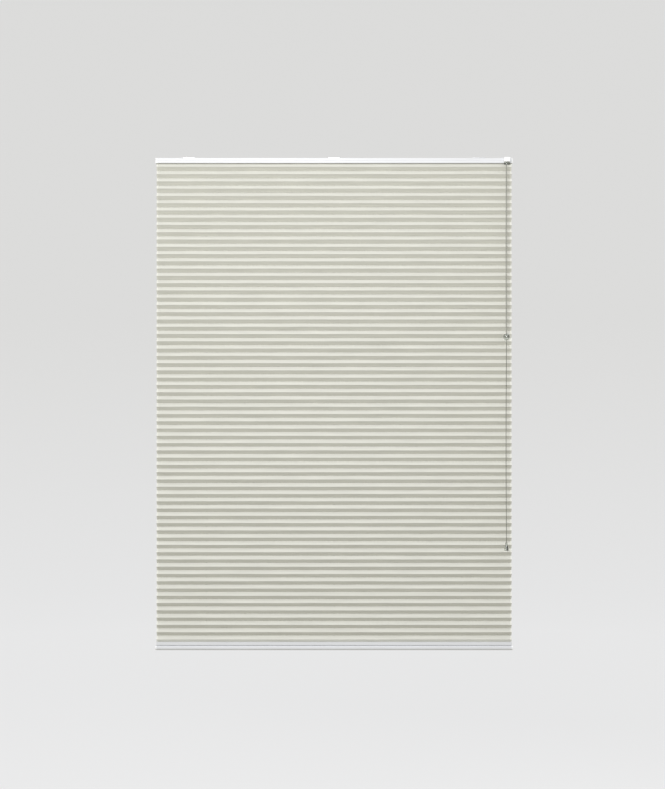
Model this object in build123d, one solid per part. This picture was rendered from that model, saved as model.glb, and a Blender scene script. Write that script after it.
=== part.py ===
from build123d import *
import math
import os

# A free-hanging honeycomb pleated blind, raised by three lift cords through a cord lock.
# Millimetres. X runs across the blind, the front faces -Y, +Z is up, and the origin is
# the centre of the plane that the three ceiling brackets are screwed to.

# ---- cloth ----
CLOTH_WIDTH = 1221.0
CELL_PITCH = 25.0
CELL_COUNT = 66
CELL_DEPTH = 31.6
GLUE_WIDTH = 8.0
CLOTH_WALL = 0.3
LAST_FACET_DROP = 9.0
CORD_HOLE_R = 3.5

# ---- slats that hold the cloth in the rails ----
SLAT_WIDTH = 26.0
SLAT_THICKNESS = 0.8
SLAT_PLAY = 0.05
SLAT_HOLE_R = 4.0

# ---- headrail, an aluminium extrusion open above and below ----
HEAD_DEPTH = 38.0
HEAD_WALL = 1.2
HEAD_GAP = 2.6
LIP_THICKNESS = 1.2
TOP_LIP_REACH = 4.0
TOP_CHANNEL_HEIGHT = 2.4
WEB_THICKNESS = 1.0
LEDGE_THICKNESS = 0.8
LEDGE_REACH = 2.2
SLAT_SLOT_HEIGHT = 1.8
CLOTH_SLOT_WIDTH = 22.0
CLOTH_SLOT_PLAY = 0.3
GROOVE_WIDTH = 0.9
GROOVE_DEPTH = 0.4
GROOVE_DROP = 8.9

# ---- end caps ----
HEAD_CAP_THICKNESS = 2.5
HEAD_CAP_LIP = 0.7
HEAD_CAP_PLUG = 4.6
RAIL_CAP_THICKNESS = 4.0
RAIL_CAP_EDGE = 2.0
RAIL_CAP_PLUG = 8.0
PLUG_PLAY = 0.15

# ---- ceiling brackets ----
BRACKET_INSET = 110.5
PLATE_LENGTH = 46.0
PLATE_WIDTH = 30.0
PLATE_THICKNESS = 1.2
PLATE_CORNER_R = 4.0
SCREW_SPACING = 32.0
SCREW_HOLE_R = 2.25
LEVER_THICKNESS = 1.0
LEVER_PLAY = 0.1
LEVER_ARM_LENGTH = 26.0
LEVER_ARM_WIDTH = 11.0
LEVER_ARM_CORNER_R = 5.4
LEVER_DISC_R = 8.0
WING_END_PLAY = 1.3
WING_WIDTH = 12.0
WING_CORNER_R = 2.5
WING_PLAY = 0.15
STEM_R = 6.0
RIVET_R = 2.0
RIVET_HEAD_R = 3.6
RIVET_HEAD_HEIGHT = 0.8

# ---- lift cords and their guides ----
LIFT_INSET = 170.5
CORD_R = 0.6
CORD_PLAY = 0.05
CORD_GAP = 0.2
GUIDE_ROLLER_R = 2.6
GUIDE_ROLLER_LENGTH = 15.6
GUIDE_WALL = 1.6
AXLE_R = 1.0
RUNNING_PLAY = 0.05
SIDE_PLAY = 0.2
GUIDE_FLOOR = 0.8
GUIDE_FLOOR_REACH = 4.0
KNOT_R = 1.8
LANE_START = 45.0
LANE_SHIFT = 32.0
LANE_BEND_R = 120.0

# ---- cord lock ----
EXIT_INSET = 20.1
CONNECTOR_CLEARANCE = 1.0
PULLEY_R = 4.0
PULLEY_Y = -2.0
PULLEY_FLANGE = 0.85
LOCK_PIN_R = 1.25
LOCK_WALL = 1.4
LOCK_FLOOR = 1.0
LOCK_INSET = 54.5
DOG_INSET = 44.5
DOG_Y = -5.0
DOG_BOSS_R = 3.2
DOG_REACH = 7.4
DOG_GAP = 0.2
DOG_TEETH = 4
DOG_TOOTH_PITCH = 1.1
DOG_TOOTH_HEIGHT = 0.55
DOG_TOOTH_SLOPE = 0.9
NOSE_ROLLER_R = 3.0
HOOD_INSET = 27.9
HOOD_WIDTH = 20.5
HOOD_OVERHANG = 5.5
HOOD_WALL = 1.4
HOOD_EDGE = 2.0
NECK_WALL = 0.8
NECK_PLAY = 0.2
BUSH_INSET = 16.9
BUSH_WIDTH = 22.0
BUSH_DEPTH = 14.0
BUSH_THICKNESS = 7.5
BUSH_NECK_WIDTH = 16.0
BUSH_NECK_DEPTH = 9.6
BUSH_NECK_HEIGHT = 2.2
BUSH_NECK_PLAY = 0.1
BUSH_REAR_SHIFT = 2.4
MOUTH_MARGIN = 0.8

# ---- bottom rail ----
RAIL_HEIGHT = 27.7
RAIL_BAND_HEIGHT = 10.3
RAIL_BAND_DEPTH = 35.2
RAIL_GROOVE_HEIGHT = 3.4
RAIL_GROOVE_DEPTH = 28.0
RAIL_BODY_DEPTH = 39.0
RAIL_TOP_EDGE = 4.0
RAIL_LOW_EDGE = 6.5
RAIL_WALL = 1.3
PLUG_R = 4.5
PLUG_FLANGE_R = 7.0
PLUG_FLANGE = 1.4
PLUG_HEIGHT = 9.0
PLUG_WALL = 1.3
PLUG_EDGE = 1.0

# ---- connector, pull cord and tassel ----
CONNECTOR_Z = -618.0
CONNECTOR_R = 11.0
CONNECTOR_HEIGHT = 24.0
CONNECTOR_SPLIT = 3.0
CONNECTOR_WALL = 2.0
SPIGOT_HEIGHT = 1.6
SPIGOT_WALL = 1.0
SPIGOT_PLAY = 0.05
STRAND_KNOT_R = 3.0
PULL_CORD_R = 0.9
PULL_HOLE_R = 1.3
TASSEL_TOP_Z = -1321.5
TASSEL_HEIGHT = 28.5
TASSEL_TOP_R = 3.4
TASSEL_R = 8.0
TASSEL_WALL = 1.6
TASSEL_EDGE = 0.8
TASSEL_NECK_HEIGHT = 8.55
TASSEL_NECK_R = 4.0
TASSEL_RIM_HEIGHT = 1.2
TASSEL_FLARE_HEIGHT = 6.0
TASSEL_FLARE_R = 6.8

# ---- levels and places that follow ----
HEAD_TOP_Z = -HEAD_GAP
LIP_BOTTOM_Z = HEAD_TOP_Z - LIP_THICKNESS
WEB_TOP_Z = LIP_BOTTOM_Z - TOP_CHANNEL_HEIGHT
WEB_BOTTOM_Z = WEB_TOP_Z - WEB_THICKNESS
GUIDE_TURN_R = GUIDE_ROLLER_R + CORD_PLAY + CORD_R
CORD_RISE = SIDE_PLAY + GUIDE_ROLLER_R + GUIDE_TURN_R
CORD_HEADROOM = CORD_R + 2 * SIDE_PLAY + NECK_WALL + NECK_PLAY + PLUG_PLAY
LEDGE_TOP_Z = WEB_BOTTOM_Z - CORD_RISE - CORD_HEADROOM
LEDGE_BOTTOM_Z = LEDGE_TOP_Z - LEDGE_THICKNESS
LOW_LIP_TOP_Z = LEDGE_BOTTOM_Z - SLAT_SLOT_HEIGHT
HEAD_BOTTOM_Z = LOW_LIP_TOP_Z - LIP_THICKNESS
HEAD_HALF = HEAD_DEPTH / 2
HEAD_INNER = HEAD_HALF - HEAD_WALL
CLOTH_DROP = CELL_PITCH / 2 + (CELL_COUNT - 1) * CELL_PITCH + LAST_FACET_DROP
RAIL_TOP_Z = HEAD_BOTTOM_Z - CLOTH_DROP
RAIL_BOTTOM_Z = RAIL_TOP_Z - RAIL_HEIGHT
RAIL_BODY_TOP_Z = RAIL_TOP_Z - RAIL_BAND_HEIGHT - RAIL_GROOVE_HEIGHT
END_X = CLOTH_WIDTH / 2
LIFT_X = END_X - LIFT_INSET
BRACKET_X = END_X - BRACKET_INSET
WING_LENGTH = 2 * (HEAD_INNER - WING_END_PLAY)
CORD_SPACING = 2 * CORD_R + CORD_GAP
EXIT_X = END_X - EXIT_INSET
EXIT_Y = -RAIL_BODY_DEPTH / 2 - CONNECTOR_R - CONNECTOR_CLEARANCE
LOCK_START_X = END_X - LOCK_INSET
DOG_X = END_X - DOG_INSET
CORD_Z = LEDGE_TOP_Z + CORD_RISE
PULLEY_TURN_R = PULLEY_R + CORD_PLAY + CORD_R
PULLEY_X = EXIT_X - PULLEY_TURN_R - CORD_SPACING
NOSE_TURN_R = NOSE_ROLLER_R + CORD_PLAY + CORD_R
NOSE_Y = EXIT_Y + NOSE_TURN_R
NOSE_Z = CORD_Z - NOSE_TURN_R
HOOD_LEFT_X = END_X - HOOD_INSET
HOOD_RIGHT_X = HOOD_LEFT_X + HOOD_WIDTH
HOOD_FRONT_Y = EXIT_Y - HOOD_OVERHANG
HOOD_BOTTOM_Z = LOW_LIP_TOP_Z
BUSH_X = END_X - BUSH_INSET
BUSH_TOP_Z = HOOD_BOTTOM_Z + LOCK_FLOOR
BUSH_FLANGE_Z = HOOD_BOTTOM_Z - BUSH_NECK_HEIGHT
BUSH_BOTTOM_Z = BUSH_FLANGE_Z - BUSH_THICKNESS
BUSH_Y = EXIT_Y + BUSH_REAR_SHIFT
HANDOVER_Z = BUSH_FLANGE_Z
STATIONS = {"left": -LIFT_X, "centre": 0.0, "right": LIFT_X}
LANES = {"right": 0, "centre": 1, "left": 2}
BRACKETS = {"left": -BRACKET_X, "centre": 0.0, "right": BRACKET_X}


def box(x0, x1, y0, y1, z0, z1):
    """A block between two corners."""
    centre = Pos((x0 + x1) / 2, (y0 + y1) / 2, (z0 + z1) / 2)
    return centre * Box(x1 - x0, y1 - y0, z1 - z0)


def upright(x, y, radius, z0, z1):
    """A cylinder along Z."""
    return Pos(x, y, (z0 + z1) / 2) * Cylinder(radius, z1 - z0)


def along_x(x0, x1, y, z, radius):
    """A cylinder along X."""
    return Pos((x0 + x1) / 2, y, z) * Rot(0, 90, 0) * Cylinder(radius, x1 - x0)


def along_y(x, y0, y1, z, radius):
    """A cylinder along Y."""
    return Pos(x, (y0 + y1) / 2, z) * Rot(90, 0, 0) * Cylinder(radius, y1 - y0)


def mirrored(right_side):
    """A closed outline in (y, z) from the points of its +Y side, top to bottom."""
    left_side = [(-y, z) for y, z in reversed(right_side)]
    return right_side + left_side


def section(outline):
    """A wire in the YZ plane at the blind's left end."""
    return Wire.make_polygon([Vector(-END_X, y, z) for y, z in outline], close=True)


def extruded(outer, holes=()):
    """A length of section running the whole width of the cloth."""
    face = Face(section(outer), [section(hole) for hole in holes])
    return Solid.extrude(face, Vector(CLOTH_WIDTH, 0, 0))


def inset(outline, wall):
    """The outline moved inwards by a wall; it runs clockwise seen from +X."""
    moved = []
    count = len(outline)
    for i in range(count):
        before, here, after = outline[i - 1], outline[i], outline[(i + 1) % count]
        moved.append(offset_corner(before, here, after, wall))
    return moved


def offset_corner(before, here, after, wall):
    """Where the two edges that meet at a corner cross, once moved inwards."""
    ay, az = unit(before, here)
    by, bz = unit(here, after)
    # the inward side of an edge that runs (y, z) is (z, -y)
    py, pz = here[0] + az * wall, here[1] - ay * wall
    qy, qz = here[0] + bz * wall, here[1] - by * wall
    cross = ay * bz - az * by
    if abs(cross) < 1e-9:
        return (py, pz)
    along = ((qy - py) * bz - (qz - pz) * by) / cross
    return (py + along * ay, pz + along * az)


def unit(start, end):
    """The direction from one (y, z) point to another."""
    dy, dz = end[0] - start[0], end[1] - start[1]
    length = math.hypot(dy, dz)
    return dy / length, dz / length


# ---- cloth and slats ----


def ridge_z(index):
    return HEAD_BOTTOM_Z - CELL_PITCH * (index + 0.5)


def pocket_side(mouth_z, direction):
    """The +Y side of the pocket round a slat, from the slot's mouth to the pocket's far face.

    direction is 1 for the pocket above the cloth and -1 for the one below."""
    slot = CLOTH_SLOT_WIDTH / 2 - CLOTH_SLOT_PLAY
    reach = SLAT_WIDTH / 2 + SLAT_PLAY + CLOTH_WALL
    near_z = mouth_z + direction * (LIP_THICKNESS + SLAT_PLAY)
    far_z = near_z + direction * (2 * CLOTH_WALL + SLAT_THICKNESS + 2 * SLAT_PLAY)
    return [(slot, mouth_z), (slot, near_z), (reach, near_z), (reach, far_z)]


def cell_sides():
    """The +Y side of each cell, top to bottom. The end cells run on into the slat pockets."""
    glue, ridge = GLUE_WIDTH / 2, CELL_DEPTH / 2
    sides = []
    for index in range(CELL_COUNT):
        top = [(glue, HEAD_BOTTOM_Z - CELL_PITCH * index)]
        bottom = [(glue, HEAD_BOTTOM_Z - CELL_PITCH * (index + 1))]
        if index == 0:
            top = pocket_side(HEAD_BOTTOM_Z, 1)[::-1]
        if index == CELL_COUNT - 1:
            bottom = pocket_side(RAIL_TOP_Z, -1)
        sides.append(top + [(ridge, ridge_z(index))] + bottom)
    return sides


def cell_cloth():
    """The honeycomb cloth: tubes bonded one below another, pierced for the lift cords."""
    sides = cell_sides()
    outer = list(sides[0])
    for side in sides[1:]:
        outer += side[1:]
    voids = [inset(mirrored(side), CLOTH_WALL) for side in sides]
    cloth = extruded(mirrored(outer), voids)
    for x in STATIONS.values():
        cloth -= upright(x, 0, CORD_HOLE_R, RAIL_BOTTOM_Z, HEAD_TOP_Z)
    return cloth


def slat(mouth_z, direction):
    """A flat plastic strip inside a cloth pocket, with a hole at each lift cord."""
    near_z = mouth_z + direction * (LIP_THICKNESS + CLOTH_WALL + 2 * SLAT_PLAY)
    far_z = near_z + direction * SLAT_THICKNESS
    low, high = min(near_z, far_z), max(near_z, far_z)
    strip = box(-END_X, END_X, -SLAT_WIDTH / 2, SLAT_WIDTH / 2, low, high)
    for x in STATIONS.values():
        strip -= upright(x, 0, SLAT_HOLE_R, low - 1, high + 1)
    return strip


# ---- headrail ----


def headrail():
    """The extrusion: bracket channel above, cord room, slat slot below, front windowed."""
    half, inner = HEAD_HALF, HEAD_INNER
    outer = mirrored([(half, HEAD_TOP_Z), (half, HEAD_BOTTOM_Z)])
    rail = extruded(outer)
    top_slot, cloth_slot = inner - TOP_LIP_REACH, CLOTH_SLOT_WIDTH / 2
    ledge = inner - LEDGE_REACH
    channels = [
        (inner, LIP_BOTTOM_Z, WEB_TOP_Z),
        (top_slot, HEAD_TOP_Z, LIP_BOTTOM_Z),
        (inner, WEB_BOTTOM_Z, LEDGE_TOP_Z),
        (ledge, LEDGE_TOP_Z, LEDGE_BOTTOM_Z),
        (inner, LEDGE_BOTTOM_Z, LOW_LIP_TOP_Z),
        (cloth_slot, LOW_LIP_TOP_Z, HEAD_BOTTOM_Z),
    ]
    for reach, high, low in channels:
        rail -= box(-END_X, END_X, -reach, reach, low, high)
    rail -= face_groove(1)
    rail -= face_groove(-1)
    rail -= box(*neck_x(NECK_PLAY), -half - 1, -inner + 1, *neck_z(NECK_PLAY))
    return rail


def face_groove(side):
    """The shallow V groove along the front or the back face."""
    face, mid = side * HEAD_HALF, HEAD_TOP_Z - GROOVE_DROP
    half_width = GROOVE_WIDTH / 2
    outline = [
        (face, mid + half_width),
        (face, mid - half_width),
        (face - side * GROOVE_DEPTH, mid),
    ]
    return extruded(outline)


def head_cap(side):
    """An end cap: a plate over the section and a plug in the cord room."""
    half = HEAD_HALF + HEAD_CAP_LIP
    low, high = HEAD_BOTTOM_Z - HEAD_CAP_LIP, HEAD_TOP_Z
    plate = box(0, HEAD_CAP_THICKNESS, -half, half, low, high)
    plate = fillet(plate.edges().group_by(Axis.X)[-1], HEAD_CAP_LIP)
    inner = HEAD_INNER - PLUG_PLAY
    floor, roof = LEDGE_TOP_Z + PLUG_PLAY, WEB_BOTTOM_Z - PLUG_PLAY
    plug = box(-HEAD_CAP_PLUG, 0, -inner, inner, floor, roof)
    core = box(
        -HEAD_CAP_PLUG - 1, 0,
        -inner + LOCK_WALL, inner - LOCK_WALL,
        floor + LOCK_WALL, roof - LOCK_WALL,
    )
    cap = Pos(END_X, 0, 0) * (plate + (plug - core))
    return cap if side > 0 else mirror(cap, about=Plane.YZ)


# ---- ceiling brackets ----

ARM_TOP_Z = -PLATE_THICKNESS - LEVER_PLAY
ARM_BOTTOM_Z = ARM_TOP_Z - LEVER_THICKNESS
WING_TOP_Z = LIP_BOTTOM_Z - WING_PLAY
WING_BOTTOM_Z = WING_TOP_Z - LEVER_THICKNESS
RIVET_BOTTOM_Z = WING_BOTTOM_Z - LEVER_PLAY - RIVET_HEAD_HEIGHT


def bracket_plate(x):
    """The plate screwed to the ceiling, countersunk for the rivet."""
    plate = box(
        -PLATE_LENGTH / 2, PLATE_LENGTH / 2,
        -PLATE_WIDTH / 2, PLATE_WIDTH / 2,
        -PLATE_THICKNESS, 0,
    )
    plate = fillet(plate.edges().filter_by(Axis.Z), PLATE_CORNER_R)
    for screw_x in (-SCREW_SPACING / 2, SCREW_SPACING / 2):
        plate -= upright(screw_x, 0, SCREW_HOLE_R, -PLATE_THICKNESS - 1, 1)
    return Pos(x, 0, 0) * (plate - rivet_top())


def rivet_top():
    """The rivet's countersunk upper head, flush with the plate's top face."""
    middle = Pos(0, 0, -PLATE_THICKNESS / 2)
    return middle * Cone(RIVET_R, RIVET_HEAD_R, PLATE_THICKNESS)


def bracket_rivet(x):
    """The pivot rivet: countersunk head, shank and formed lower head."""
    shank = upright(0, 0, RIVET_R, RIVET_BOTTOM_Z, -PLATE_THICKNESS)
    head = upright(0, 0, RIVET_HEAD_R, RIVET_BOTTOM_Z, RIVET_BOTTOM_Z + RIVET_HEAD_HEIGHT)
    return Pos(x, 0, 0) * (rivet_top() + shank + head)


def bracket_lever(x):
    """The turning lever: finger arm above the rail, wing under its lips, stem between."""
    arm = box(
        0, LEVER_ARM_LENGTH,
        -LEVER_ARM_WIDTH / 2, LEVER_ARM_WIDTH / 2,
        ARM_BOTTOM_Z, ARM_TOP_Z,
    )
    arm = fillet(arm.edges().filter_by(Axis.Z).group_by(Axis.X)[-1], LEVER_ARM_CORNER_R)
    disc = upright(0, 0, LEVER_DISC_R, ARM_BOTTOM_Z, ARM_TOP_Z)
    stem = upright(0, 0, STEM_R, WING_TOP_Z, ARM_BOTTOM_Z)
    wing = box(
        -WING_WIDTH / 2, WING_WIDTH / 2,
        -WING_LENGTH / 2, WING_LENGTH / 2,
        WING_BOTTOM_Z, WING_TOP_Z,
    )
    wing = fillet(wing.edges().filter_by(Axis.Z), WING_CORNER_R)
    bore = upright(0, 0, RIVET_R + RUNNING_PLAY, WING_BOTTOM_Z - 1, ARM_TOP_Z + 1)
    return Pos(x, 0, 0) * (arm + disc + stem + wing - bore)


# ---- cord guides ----


def guide_axis(x):
    """The X and Z of a guide's axle, beside a lift cord that drops at x."""
    return x + GUIDE_TURN_R, CORD_Z - GUIDE_TURN_R


def cord_guide(x):
    """The moulded cradle on the headrail's ledges: a floor and two cheeks for the axle."""
    axle_x, axle_z = guide_axis(x)
    side = HEAD_INNER - PLUG_PLAY
    cheek_in = GUIDE_ROLLER_LENGTH / 2 + SIDE_PLAY
    cheek_out = cheek_in + GUIDE_WALL
    window = GUIDE_ROLLER_R + 2 * SIDE_PLAY
    cheek_half = AXLE_R + GUIDE_WALL
    left_x = x - CORD_R - 2 * SIDE_PLAY
    right_x = axle_x + window
    floor = box(
        left_x - GUIDE_FLOOR_REACH, right_x + GUIDE_FLOOR_REACH,
        -side, side,
        LEDGE_TOP_Z, LEDGE_TOP_Z + GUIDE_FLOOR,
    )
    guide = floor - box(
        left_x, right_x,
        -cheek_in, cheek_in,
        LEDGE_TOP_Z - 1, LEDGE_TOP_Z + GUIDE_FLOOR + 1,
    )
    for y0, y1 in ((-cheek_out, -cheek_in), (cheek_in, cheek_out)):
        guide += box(
            axle_x - cheek_half, axle_x + cheek_half, y0, y1,
            LEDGE_TOP_Z, axle_z + cheek_half,
        )
    return guide - along_y(axle_x, -cheek_out - 1, cheek_out + 1, axle_z, AXLE_R)


def guide_axle(x):
    """The steel axle, held in both cheeks."""
    axle_x, axle_z = guide_axis(x)
    half = GUIDE_ROLLER_LENGTH / 2 + SIDE_PLAY + GUIDE_WALL
    return along_y(axle_x, -half, half, axle_z, AXLE_R)


def guide_roller(x):
    """The plain roller that the lift cords run over."""
    axle_x, axle_z = guide_axis(x)
    half = GUIDE_ROLLER_LENGTH / 2
    roller = along_y(axle_x, -half, half, axle_z, GUIDE_ROLLER_R)
    return roller - along_y(axle_x, -half - 1, half + 1, axle_z, AXLE_R + RUNNING_PLAY)


# ---- cord lock ----

LOCK_TOP_Z = WEB_BOTTOM_Z - PLUG_PLAY
MOVING_TOP_Z = LOCK_TOP_Z - SIDE_PLAY
MOVING_BOTTOM_Z = LEDGE_TOP_Z + LOCK_FLOOR + SIDE_PLAY
LOCK_END_X = END_X - HEAD_CAP_PLUG - PLUG_PLAY


def lane_y(lane):
    """Where a cord runs along the headrail on its way to the pulley."""
    return PULLEY_Y + PULLEY_TURN_R + CORD_SPACING * lane


def lane_x(lane):
    """Where a cord crosses to the front and drops from the lock."""
    return PULLEY_X + PULLEY_TURN_R + CORD_SPACING * lane


def neck_x(play):
    """The span in X of the hood's neck, with play round it."""
    return HOOD_LEFT_X + HOOD_WALL - play, HOOD_RIGHT_X - HOOD_WALL + play


def neck_z(play):
    """The span in Z of the hood's neck, with play round it."""
    return LEDGE_TOP_Z + NECK_PLAY - play, LOCK_TOP_Z + play - NECK_PLAY


def lock_housing():
    """The tray in the cord room that carries the dog and the pulley."""
    side = HEAD_INNER - PLUG_PLAY
    tray = box(LOCK_START_X, LOCK_END_X, -side, side, LEDGE_TOP_Z, LOCK_TOP_Z)
    tray -= box(
        LOCK_START_X + LOCK_WALL, LOCK_END_X - LOCK_WALL,
        -side + LOCK_WALL, side - LOCK_WALL,
        LEDGE_TOP_Z + LOCK_FLOOR, LOCK_TOP_Z + 1,
    )
    cord_low, cord_high = lane_y(0) - 2 * CORD_R, lane_y(2) + 2 * CORD_R
    tray -= box(
        LOCK_START_X - 1, LOCK_START_X + LOCK_WALL + 1,
        cord_low, cord_high,
        CORD_Z - 2 * CORD_R, LOCK_TOP_Z + 1,
    )
    tray -= box(*neck_x(NECK_PLAY), -side - 1, -side + LOCK_WALL + 1, *neck_z(NECK_PLAY))
    brake_y = lane_y(2) + CORD_R + CORD_PLAY
    tray += box(
        DOG_X - DOG_BOSS_R, DOG_X + DOG_REACH + 2 * DOG_BOSS_R,
        brake_y, brake_y + LOCK_WALL,
        LEDGE_TOP_Z + LOCK_FLOOR / 2, LOCK_TOP_Z,
    )
    for x, y in ((DOG_X, DOG_Y), (PULLEY_X, PULLEY_Y)):
        tray -= upright(x, y, LOCK_PIN_R, LEDGE_TOP_Z - 1, LOCK_TOP_Z)
    return tray


def lock_pin(x, y):
    """A steel pin standing in the tray's floor."""
    return upright(x, y, LOCK_PIN_R, LEDGE_TOP_Z, LOCK_TOP_Z)


def lock_pulley():
    """The upright pulley that turns the cords to the front, with a flange under them."""
    drum = upright(PULLEY_X, PULLEY_Y, PULLEY_R, MOVING_BOTTOM_Z, MOVING_TOP_Z)
    flange_top = CORD_Z - CORD_R - CORD_PLAY
    flange_r = PULLEY_TURN_R + 2 * CORD_SPACING + CORD_R
    flange = upright(PULLEY_X, PULLEY_Y, flange_r, flange_top - PULLEY_FLANGE, flange_top)
    bore_r = LOCK_PIN_R + RUNNING_PLAY
    bore = upright(PULLEY_X, PULLEY_Y, bore_r, MOVING_BOTTOM_Z - 1, MOVING_TOP_Z + 1)
    return drum + flange - bore


def lock_dog():
    """The pivoting dog that grips the cords against the brake wall when they run back."""
    nose_x, nose_y = DOG_X + DOG_REACH, lane_y(0) - CORD_R - DOG_GAP
    outline = [(DOG_X - DOG_BOSS_R, DOG_Y)]
    for index in range(DOG_TEETH):
        root_x = nose_x - DOG_TOOTH_PITCH * (DOG_TEETH - index)
        outline.append((root_x, nose_y - DOG_TOOTH_HEIGHT))
        outline.append((root_x + DOG_TOOTH_SLOPE, nose_y))
    outline.append((nose_x, nose_y - DOG_TOOTH_HEIGHT))
    outline.append((DOG_X, DOG_Y - DOG_BOSS_R))
    wire = Wire.make_polygon([Vector(x, y, MOVING_BOTTOM_Z) for x, y in outline], close=True)
    dog = Solid.extrude(Face(wire), Vector(0, 0, MOVING_TOP_Z - MOVING_BOTTOM_Z))
    dog += upright(DOG_X, DOG_Y, DOG_BOSS_R, MOVING_BOTTOM_Z, MOVING_TOP_Z)
    bore_r = LOCK_PIN_R + RUNNING_PLAY
    return dog - upright(DOG_X, DOG_Y, bore_r, MOVING_BOTTOM_Z - 1, MOVING_TOP_Z + 1)


def lock_hood():
    """The white nose in front of the headrail, snapped in through its window."""
    hood = box(
        HOOD_LEFT_X, HOOD_RIGHT_X, HOOD_FRONT_Y, -HEAD_HALF, HOOD_BOTTOM_Z, HEAD_TOP_Z
    )
    front = hood.faces().sort_by(Axis.Y)[0]
    hood = fillet(front.edges(), HOOD_EDGE)
    hood -= box(
        HOOD_LEFT_X + HOOD_WALL, HOOD_RIGHT_X - HOOD_WALL,
        HOOD_FRONT_Y + HOOD_WALL, -HEAD_HALF - HOOD_WALL,
        HOOD_BOTTOM_Z + LOCK_FLOOR, HEAD_TOP_Z - HOOD_WALL,
    )
    x0, x1 = neck_x(0)
    z0, z1 = neck_z(0)
    back = -HEAD_INNER + PLUG_PLAY + LOCK_WALL
    hood += box(x0, x1, -HEAD_HALF, back, z0, z1)
    hood -= box(
        x0 + NECK_WALL, x1 - NECK_WALL,
        -HEAD_HALF - 2 * HOOD_WALL, back + 1,
        z0 + NECK_WALL, z1 - NECK_WALL,
    )
    hood -= bush_neck(HOOD_BOTTOM_Z - 1, BUSH_TOP_Z + 1, BUSH_NECK_PLAY)
    return hood - nose_axle()


def nose_axle():
    """The steel axle across the hood."""
    reach = HOOD_WALL / 2
    return along_x(HOOD_LEFT_X + reach, HOOD_RIGHT_X - reach, NOSE_Y, NOSE_Z, AXLE_R)


def nose_roller():
    """The roller that turns the cords down."""
    x0 = HOOD_LEFT_X + HOOD_WALL + SIDE_PLAY
    x1 = HOOD_RIGHT_X - HOOD_WALL - SIDE_PLAY
    roller = along_x(x0, x1, NOSE_Y, NOSE_Z, NOSE_ROLLER_R)
    return roller - along_x(x0 - 1, x1 + 1, NOSE_Y, NOSE_Z, AXLE_R + RUNNING_PLAY)


def bush_neck(z0, z1, play):
    """The oval neck of the exit bushing, or the hole that it fits."""
    outline = SlotOverall(BUSH_NECK_WIDTH + play, BUSH_NECK_DEPTH + play)
    neck = extrude(outline, z1 - z0)
    return Pos(HOOD_LEFT_X + HOOD_WIDTH / 2, BUSH_Y, z0) * neck


def exit_bushing():
    """The oval bushing under the hood that the cords come out of."""
    flange = extrude(Ellipse(BUSH_WIDTH / 2, BUSH_DEPTH / 2), BUSH_THICKNESS)
    rims = flange.edges().filter_by(GeomType.ELLIPSE)
    flange = fillet(rims, BUSH_THICKNESS / 3)
    flange = Pos(BUSH_X, BUSH_Y, BUSH_BOTTOM_Z) * flange
    bush = flange + bush_neck(BUSH_FLANGE_Z - BUSH_THICKNESS / 2, BUSH_TOP_Z, 0)
    return bush - strand_mouth(MOUTH_MARGIN, BUSH_BOTTOM_Z - 1, BUSH_TOP_Z + 1)


def strand_mouth(margin, z0, z1):
    """A slot round the three strands, with a margin at its ends and half of it in front."""
    length = 2 * (CORD_SPACING + CORD_R + margin)
    slot = SlotOverall(length, 2 * CORD_R + margin)
    return Pos(EXIT_X, EXIT_Y, z0) * extrude(slot, z1 - z0)


# ---- cords ----


def tube(name, points, radii, radius):
    """A round cord along straight runs joined by tangent arcs."""
    path = FilletPolyline(*points, radius=radii) if radii else Polyline(*points)
    cord = sweep(Plane(origin=path @ 0, z_dir=path % 0) * Circle(radius), path=path)
    share = cord.volume / (math.pi * radius**2 * path.length)
    print(f"{name}: {path.length:.0f} mm long, arcs {radii}, volume share {share:.4f}")
    return cord


def lift_cord(name):
    """A lift cord from its knot in the bottom rail to the mouth of the lock."""
    x, lane = STATIONS[name], LANES[name]
    shift_start = x + LANE_START
    shift_end = shift_start + LANE_SHIFT * (1 + lane)
    knot_z = RAIL_BOTTOM_Z + PLUG_HEIGHT - PLUG_WALL - KNOT_R
    points = [
        (x, 0, knot_z),
        (x, 0, CORD_Z),
        (shift_start, 0, CORD_Z),
        (shift_end, lane_y(lane), CORD_Z),
        (lane_x(lane), lane_y(lane), CORD_Z),
        (lane_x(lane), EXIT_Y, CORD_Z),
        (lane_x(lane), EXIT_Y, HANDOVER_Z),
    ]
    pulley_r = PULLEY_TURN_R + CORD_SPACING * lane
    radii = [GUIDE_TURN_R, LANE_BEND_R, LANE_BEND_R, pulley_r, NOSE_TURN_R]
    cord = tube(f"lift_cord_{name}", points, radii, CORD_R)
    return cord + Pos(x, 0, knot_z) * Sphere(KNOT_R)


def pull_strand(name):
    """The same cord outside the lock, down to the knot that joins all three."""
    x = lane_x(LANES[name])
    middle = name == "centre"
    end_z = CONNECTOR_Z if middle else CONNECTOR_Z + STRAND_KNOT_R + CORD_PLAY
    points = [(x, EXIT_Y, HANDOVER_Z), (x, EXIT_Y, end_z)]
    strand = tube(f"pull_strand_{name}", points, None, CORD_R)
    if middle:
        strand += Pos(x, EXIT_Y, CONNECTOR_Z) * Sphere(STRAND_KNOT_R)
    return strand


def pull_cord():
    """The single cord from the connector to the tassel, knotted at both ends."""
    top_z = CONNECTOR_Z - CONNECTOR_HEIGHT / 2 + CONNECTOR_WALL + KNOT_R
    bottom_z = TASSEL_TOP_Z - TASSEL_WALL - KNOT_R
    points = [(EXIT_X, EXIT_Y, top_z), (EXIT_X, EXIT_Y, bottom_z)]
    cord = tube("pull_cord", points, None, PULL_CORD_R)
    for z in (top_z, bottom_z):
        cord += Pos(EXIT_X, EXIT_Y, z) * Sphere(KNOT_R)
    return cord


# ---- connector and tassel ----


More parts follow.
